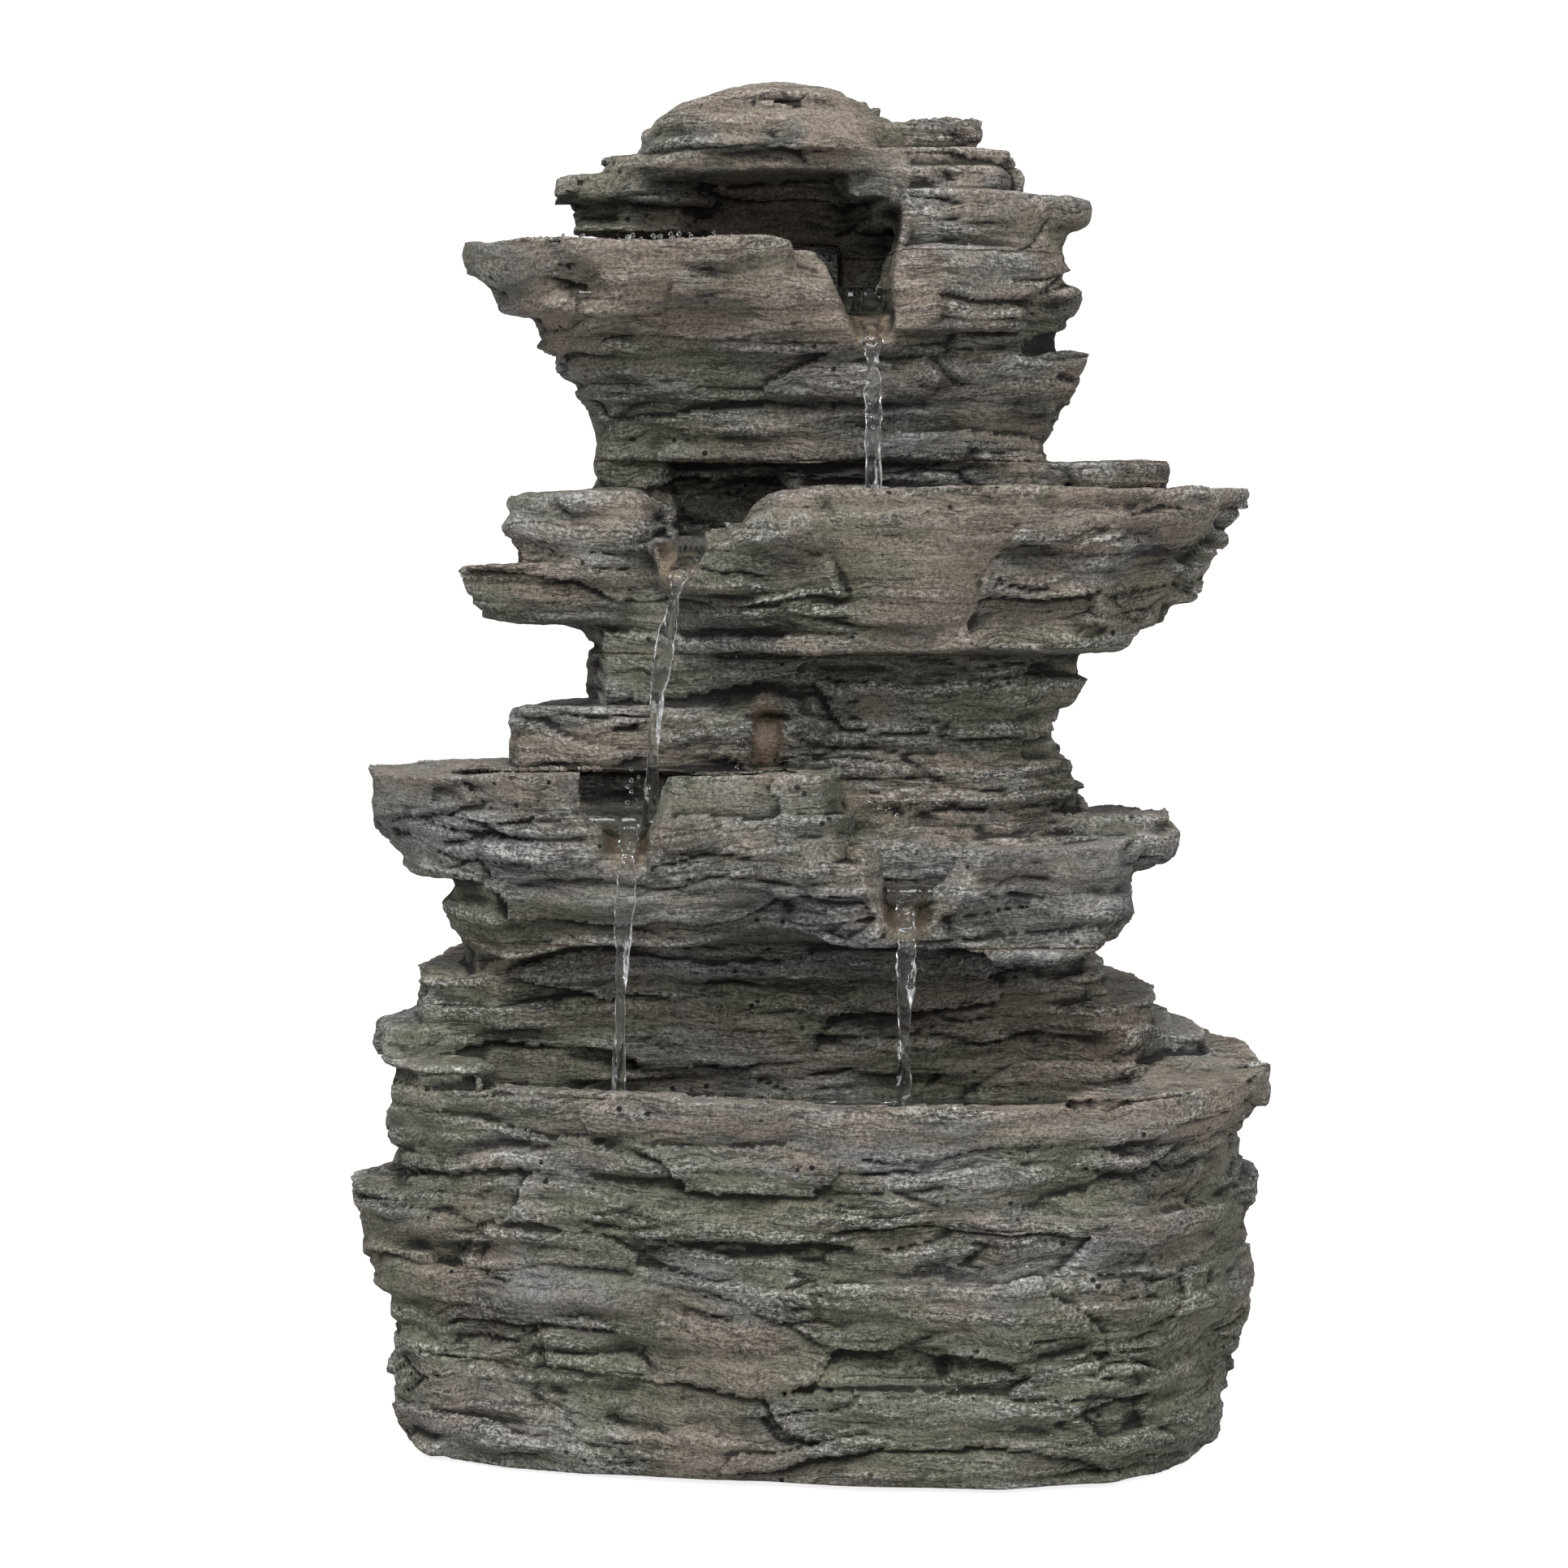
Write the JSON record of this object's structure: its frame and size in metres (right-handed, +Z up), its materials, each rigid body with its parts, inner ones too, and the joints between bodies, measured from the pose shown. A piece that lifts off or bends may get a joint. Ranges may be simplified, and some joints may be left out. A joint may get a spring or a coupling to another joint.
{
  "type": "tabletop water fountain",
  "caption": "Tabletop indoor water fountain of stacked rock ledges: a pump lifts water to a cave near the top and it falls from tray to tray into a basin.",
  "frame": {"origin": "centre of the bounding box at the level of the surface that the foot pads stand on", "axes": "+Z up, +X to the viewer's right when facing the pool, +Y from the pool towards the back with the access door"},
  "size_m": [0.272, 0.2, 0.396],
  "materials": {
    "rock": "matte, layered cast stone resin",
    "magnet": "nickel plated",
    "pad_rubber": "matte",
    "pump_plastic": "satin moulded",
    "nut_steel": "machined",
    "lead_rubber": "matte",
    "core_steel": "laminated",
    "winding": "enamelled copper wire",
    "rotor_plastic": "moulded",
    "shaft_ceramic": "ground",
    "bush_rubber": "matte",
    "dial_plastic": "satin moulded",
    "cup_rubber": "satin",
    "clear_tube": "clear vinyl",
    "clip_steel": "spring steel"
  },
  "bodies": {
    "fountain": {"basin": "rock", "lower_tier": "rock", "middle_tier": "rock", "upper_tier": "rock", "cap_rock": "rock", "frame_magnets": "magnet", "foot_pads": "pad_rubber", "power_inlet": "pump_plastic", "inlet_nut": "nut_steel", "pump_lead": "lead_rubber", "motor_housing": "pump_plastic", "stator_core": "core_steel", "stator_coil": "winding", "impeller_shaft": "shaft_ceramic", "shaft_bushes": "bush_rubber", "volute_cover": "pump_plastic", "suction_cups": "cup_rubber", "pump_gland": "lead_rubber", "riser_tube": "clear_tube", "tube_clips": "clip_steel", "outlet_elbow": "pump_plastic"},
    "impeller": {"impeller": "rotor_plastic"},
    "strainer": {"strainer_cover": "pump_plastic"},
    "dial": {"flow_dial": "dial_plastic"},
    "door": {"access_door": "rock", "door_magnets": "magnet"}
  },
  "joints": [
    {"name": "impeller_spin", "type": "hinge", "parent": "fountain", "child": "impeller", "pos_m": [0.004, 0.033, 0.023], "axis": [0, 1, 0], "continuous": true},
    {"name": "strainer_pull", "type": "slide", "parent": "fountain", "child": "strainer", "axis": [0, -1, 0], "range_m": [0, 0.016]},
    {"name": "flow_dial_turn", "type": "hinge", "parent": "strainer", "child": "dial", "pos_m": [-0.004, 0.012, 0.033], "axis": [0, -1, 0], "range_deg": [0, 90]},
    {"name": "door_pull", "type": "slide", "parent": "fountain", "child": "door", "axis": [0, 1, 0], "range_m": [0, 0.04]}
  ]
}
